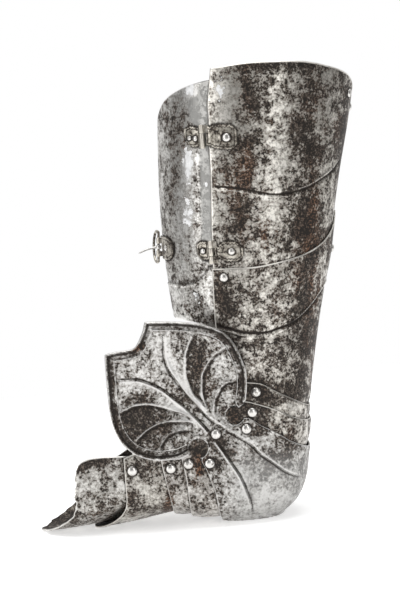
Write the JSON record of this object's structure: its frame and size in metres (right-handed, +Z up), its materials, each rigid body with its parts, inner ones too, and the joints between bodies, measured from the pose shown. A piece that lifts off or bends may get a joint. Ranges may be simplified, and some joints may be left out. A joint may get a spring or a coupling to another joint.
{
  "type": "gothic leg harness",
  "caption": "Plate armour for a right leg, standing on its bent knee: hinged thigh defence with a buckle, knee piece with a side wing, sliding lames above and below it, and shin plates.",
  "frame": {"origin": "middle of the flattened underside of the knee piece, on the surface that the harness stands on", "axes": "+Z up along the thigh, +X toward the front of the thigh, -Y toward the outer side of the leg, where the wing is; the shin plates run back along -X"},
  "size_m": [0.3491, 0.1637, 0.4503],
  "materials": {
    "worn_steel": "old steel with brown patina",
    "bright_steel": "polished by handling",
    "dark_steel": "dark patina"
  },
  "bodies": {
    "poleyn": {"lame_b_inner_rivet": "bright_steel", "lame_b_outer_rivet": "bright_steel", "lame_c_inner_rivet": "bright_steel", "lame_c_outer_rivet": "bright_steel", "poleyn": "worn_steel", "wing_strap_rivet": "bright_steel"},
    "lame_b": {"lame_a_inner_rivet": "bright_steel", "lame_a_outer_rivet": "bright_steel", "lame_b": "worn_steel"},
    "lame_a": {"cuisse_inner_rivet": "bright_steel", "cuisse_outer_rivet": "bright_steel", "lame_a": "worn_steel"},
    "cuisse": {"lower_cuisse_plate": "worn_steel", "lower_hinge_front_leaf": "dark_steel", "lower_hinge_front_rivet": "bright_steel", "lower_hinge_pin": "bright_steel", "plate_rivet_front": "bright_steel", "plate_rivet_outer": "bright_steel", "top_rivet_front": "bright_steel", "top_rivet_outer": "bright_steel", "upper_cuisse_plate": "worn_steel", "upper_hinge_front_leaf": "dark_steel", "upper_hinge_front_rivet": "bright_steel", "upper_hinge_pin": "bright_steel"},
    "side_plate": {"buckle_plate": "dark_steel", "buckle_rivet": "bright_steel", "lower_hinge_back_leaf": "dark_steel", "lower_hinge_back_rivet": "bright_steel", "side_plate": "worn_steel", "upper_hinge_back_leaf": "dark_steel", "upper_hinge_back_rivet_far": "bright_steel", "upper_hinge_back_rivet_near": "bright_steel"},
    "buckle_frame": {"buckle_frame": "bright_steel"},
    "buckle_tongue": {"buckle_tongue": "bright_steel"},
    "lame_c": {"lame_c": "worn_steel", "lame_d_inner_rivet": "bright_steel", "lame_d_outer_rivet": "bright_steel"},
    "lame_d": {"lame_d": "worn_steel", "shin_inner_rivet": "bright_steel", "shin_outer_rivet": "bright_steel"},
    "shin": {"greave_inner_rivet": "bright_steel", "greave_outer_rivet": "bright_steel", "shin_plate": "worn_steel"},
    "greave": {"greave_plate": "worn_steel"}
  },
  "joints": [
    {"name": "knee_upper_pivot", "type": "hinge", "parent": "poleyn", "child": "lame_b", "pos_m": [0.00353, 0, 0.09584], "axis": [0, 1, 0], "range_deg": [-2, 8]},
    {"name": "lame_pivot", "type": "hinge", "parent": "lame_b", "child": "lame_a", "pos_m": [0.01034, 0, 0.11123], "axis": [0, 1, 0], "range_deg": [-2, 8]},
    {"name": "thigh_pivot", "type": "hinge", "parent": "lame_a", "child": "cuisse", "pos_m": [0.01559, 0, 0.13065], "axis": [0, 1, 0], "range_deg": [-2, 8]},
    {"name": "side_plate_hinge", "type": "hinge", "parent": "cuisse", "child": "side_plate", "pos_m": [-0.01644, -0.06976, 0.32483], "axis": [0.0052, -0.0346, 0.9994], "range_deg": [0, 55]},
    {"name": "buckle_frame_turn", "type": "hinge", "parent": "side_plate", "child": "buckle_frame", "pos_m": [-0.06848, 0.0013, 0.27598], "axis": [0.0837, 0, 0.9965], "range_deg": [0, 60]},
    {"name": "buckle_tongue_turn", "type": "hinge", "parent": "side_plate", "child": "buckle_tongue", "pos_m": [-0.06848, 0.0013, 0.27598], "axis": [0.0837, 0, 0.9965], "range_deg": [-60, 60]},
    {"name": "knee_lower_pivot", "type": "hinge", "parent": "poleyn", "child": "lame_c", "pos_m": [-0.0351, 0, 0.06477], "axis": [0, -1, 0], "range_deg": [-2, 5]},
    {"name": "lower_lame_pivot", "type": "hinge", "parent": "lame_c", "child": "lame_d", "pos_m": [-0.05591, 0, 0.06561], "axis": [0, -1, 0], "range_deg": [-2, 4]},
    {"name": "shin_pivot", "type": "hinge", "parent": "lame_d", "child": "shin", "pos_m": [-0.07355, 0, 0.06227], "axis": [0, -1, 0], "range_deg": [-2, 4]},
    {"name": "greave_pivot", "type": "hinge", "parent": "shin", "child": "greave", "pos_m": [-0.11154, 0, 0.06275], "axis": [0, -1, 0], "range_deg": [-3, 3]}
  ]
}
